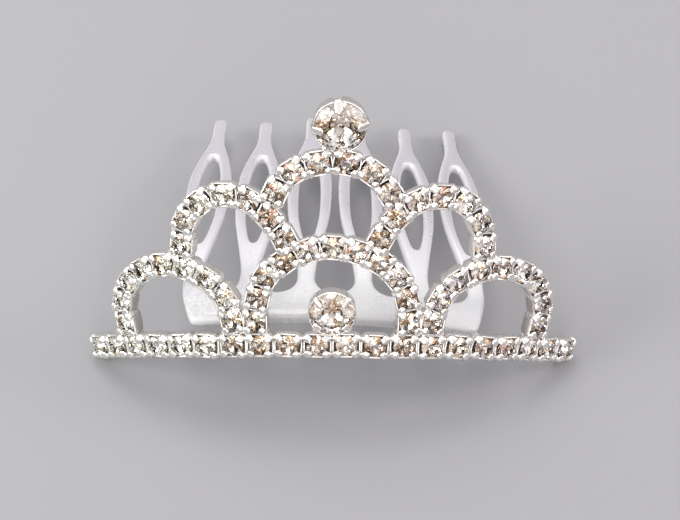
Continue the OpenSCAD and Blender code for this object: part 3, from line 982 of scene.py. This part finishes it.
def pale_floor():
    """A plain pale floor."""
    material = Material("pale_floor", base_color=(*FLOOR_TONE, 1), roughness=0.85)
    mesh = bpy.data.meshes.new("floor")
    corners = [(-FLOOR_HALF, -FLOOR_HALF, 0), (FLOOR_HALF, -FLOOR_HALF, 0),
               (FLOOR_HALF, FLOOR_HALF, 0), (-FLOOR_HALF, FLOOR_HALF, 0)]
    mesh.from_pydata(corners, [], [(0, 1, 2, 3)])
    mesh.materials.append(material.made)
    floor = bpy.data.objects.new("floor", mesh)
    bpy.context.scene.collection.objects.link(floor)


def soft_light(name, at, size, watts, colour):
    """A square soft box that looks at the middle of the part."""
    light = bpy.data.lights.new(name, "AREA")
    light.shape = "SQUARE"
    light.size = size
    light.energy = watts
    light.color = colour
    thing = bpy.data.objects.new(name, light)
    thing.location = at
    thing.rotation_mode = "QUATERNION"
    thing.rotation_quaternion = (Vector(LIGHT_TARGET) - Vector(at)).to_track_quat("-Z", "Y")
    bpy.context.scene.collection.objects.link(thing)


def surroundings():
    """An even light all round, dim at the horizon like the floor far away, and bright above."""
    world = bpy.data.worlds.new("surroundings")
    bpy.context.scene.world = world
    world.use_nodes = True
    nodes, links = world.node_tree.nodes, world.node_tree.links
    direction = add_node(nodes, links, "TexCoord", {}, {}).outputs["Generated"]
    height = add_node(nodes, links, "SeparateXYZ", {0: direction}, {}).outputs["Z"]
    strength = add_node(nodes, links, "MapRange", {
        "Value": height, "From Min": 0.0, "From Max": SKY_HIGH_FROM, "To Min": SKY_LOW, "To Max": SKY_HIGH,
    }, {})
    nodes["Background"].inputs["Color"].default_value = (*SKY_TONE, 1)
    links.new(strength.outputs["Result"], nodes["Background"].inputs["Strength"])


def photo_camera():
    """The camera, which looks down along +Y and is rolled a little about its line of sight."""
    camera = bpy.data.cameras.new("camera")
    camera.lens = CAMERA_LENS
    camera.sensor_width = SENSOR
    camera.clip_start = 0.005
    camera.clip_end = 50
    forward = np.array([0, np.cos(CAMERA_DOWN), -np.sin(CAMERA_DOWN)])
    up = np.array([0, np.sin(CAMERA_DOWN), np.cos(CAMERA_DOWN)])
    right = np.array([1.0, 0, 0])
    axes = np.eye(4)
    axes[:3, 0] = np.cos(CAMERA_ROLL) * right + np.sin(CAMERA_ROLL) * up
    axes[:3, 1] = np.cos(CAMERA_ROLL) * up - np.sin(CAMERA_ROLL) * right
    axes[:3, 2] = -forward
    axes[:3, 3] = np.array(CAMERA_AT) * MM
    thing = bpy.data.objects.new("camera", camera)
    thing.matrix_world = Matrix(axes.tolist())
    bpy.context.scene.collection.objects.link(thing)
    bpy.context.scene.camera = thing


def studio():
    """Floor, surroundings, soft boxes and the camera."""
    pale_floor()
    surroundings()
    for light in LIGHTS:
        soft_light(*light)
    photo_camera()
    bpy.context.scene.view_settings.view_transform = "Standard"


def make_cups(sheet, polished):
    """Every cup of the chains, and its claws."""
    row_cups, *arch_cups = chains.values()
    arch_cups = tuple(np.concatenate([c[k] for c in arch_cups]) for k in (0, 1))
    *one_cup, recess_shade = cup()
    one_claws = claws()
    kinds = [(arch_cups, ARCH_STRETCH), (row_cups, ROW_STRETCH)]
    cups = [stamped(stretched(one_cup, by), frames) for frames, by in kinds]
    tips = [stamped(stretched(one_claws, by), frames) for frames, by in kinds]
    count = len(arch_cups[0]) + ROW_CUPS
    # Each cup point carries its painted shade, which the sheet silver reads
    piece("claw_cups", joined(cups), [sheet], *METAL, traits={"recess_shade": np.tile(recess_shade, count)})
    piece("claws", joined(tips), [polished], *METAL)


def make_joints(sheet, solder):
    """The bars between neighbouring cups, and the solder at both ends of each arch and post."""
    arches = [left_lower, right_lower, centre, left_upper, right_upper, top]
    upper_post = np.array([top[TOP_PITCHES // 2], [UPPER_BIG_S, UPPER_BIG_T]])
    lower_post = np.array([[0, 0], [0, LOWER_BIG_T]])
    soldered = [*arches, upper_post, lower_post]
    bars, drops = [], []
    for line in [row, *soldered]:
        centres, axes, lengths = between_frames(line)
        for k, length in enumerate(lengths):
            bars.append(stamped(bar(length), (centres[k:k + 1], axes[k:k + 1])))
    for line in soldered:
        centres, axes, lengths = between_frames(line)
        for k in sorted({0, len(lengths) - 1}):
            drops.append(stamped(solder_drop(hand), (centres[k:k + 1], axes[k:k + 1])))
    piece("joint_bars", joined(bars), [sheet], *METAL)
    piece("solder_drops", joined(drops), [solder], *METAL)


def make_settings(polished):
    """The two round settings with their claws."""
    # Each setting point carries its painted shade, which the polished silver reads
    *setting, recess_shade = big_setting(UPPER_BIG_D, first_angle=6, claw_width=1.2, claw_reach=1.25)
    piece("upper_setting", stamped(setting, upper_big), [polished], *METAL, traits={"recess_shade": recess_shade})
    *setting, recess_shade = big_setting(LOWER_BIG_D, first_angle=45, claw_width=0.9, claw_reach=1.05)
    piece("lower_setting", stamped(setting, lower_big), [polished], *METAL, traits={"recess_shade": recess_shade})


def make_stones(glass, foil):
    """Every stone, its facets given painted reflections at random from one seed, but for the mains of the big
    stones.
    """
    rng = np.random.default_rng(STONE_SEED)
    kinds = [(name, frames, STONE_D, 1, "small_stone") for name, frames in chains.items()]
    kinds += [
        ("upper_big_stone", upper_big, UPPER_BIG_D, 2, "big_stone"),
        ("lower_big_stone", lower_big, LOWER_BIG_D, 2, "big_stone"),
    ]
    for name, (centres, axes), diameter, girdle_steps, slot in kinds:
        points, faces, below = cut_stone(diameter, girdle_steps)
        count = len(centres)
        # Painted light and shade: powers over 1 give more white facets, on the left, and under 1 more dark
        # ones, in the middle
        depth = np.interp(centres[:, 0], *STONE_LIGHTING.T) if count > 1 else np.ones(1)
        reflection_shades = rng.random(len(faces) * count) ** np.repeat(depth, len(faces))
        spins = rng.uniform(0, 2 * np.pi / MAINS, count)
        if name in BIG_STONE_MAINS:
            # Below the girdle, each main facet comes before its two halves
            reflection_shades[np.flatnonzero(below)[::3]] = BIG_STONE_MAINS[name]
            spins = np.zeros(count)
        shape = stamped((points, faces), (centres, about_z(spins) @ axes))
        piece(name.replace("stone", "gem"), shape, [glass, foil], slot, [name],
              smooth=False, face_material=np.tile(below, count), traits={"facet_reflection": reflection_shades})


def make_comb(plastic):
    """The comb, with its smooth shading weighted by the areas of its faces."""
    *shape, edge = comb_surface()
    comb = piece("frosted_comb", shape, [plastic], "frosted_plastic", ["comb"], traits={"edge": edge})
    comb.modifiers.new("even_normals", "WEIGHTED_NORMAL").mode = "FACE_AREA"


# Centrelines of the row and the arches, the frames of the big settings, and those of all the cups
row = np.stack([(np.arange(ROW_CUPS) + 0.5) * ROW_PITCH - ROW_END, np.zeros(ROW_CUPS)], -1)
left_lower = places(LOWER_ARCH, LOWER_PITCHES)
centre = places(CENTRE_ARCH, CENTRE_PITCHES)
left_upper = places(UPPER_ARCH, UPPER_PITCHES)
top_side = np.vstack([left_upper[SHARED_CUP], TOP_ARCH_SIDE])
top = places(np.vstack([top_side, mirrored(top_side)[1:]]), TOP_PITCHES)
right_lower, right_upper = mirrored(left_lower), mirrored(left_upper)
upper_big = big_frame(UPPER_BIG_S, UPPER_BIG_T, UPPER_BIG_LEAN)
lower_big = big_frame(0, LOWER_BIG_T, LOWER_BIG_LEAN)
hand = np.random.default_rng(HAND_SEED)
chains = {
    "base_row_stones": cups_of(row, True, hand),
    "left_lower_arch_stones": cups_of(left_lower, False, hand),
    "right_lower_arch_stones": cups_of(right_lower, False, hand),
    "centre_arch_stones": cups_of(centre, False, hand),
    "left_upper_arch_stones": cups_of(left_upper, False, hand),
    "right_upper_arch_stones": cups_of(right_upper, False, hand),
    "top_arch_stones": cups_of(top, False, hand),
}

studio()
fine_marks = fine_wear()
stamped_silver = silver("stamped_silver", fine_marks, *SHEET_FINISH)
polished_silver = silver("polished_silver", fine_marks, *POLISHED_FINISH)
make_cups(stamped_silver, polished_silver)
make_joints(stamped_silver, silver("solder", fine_marks, *SOLDER_FINISH))
make_settings(polished_silver)
make_stones(stone_glass(), stone_foil())
make_comb(frosted_plastic(fine_marks))
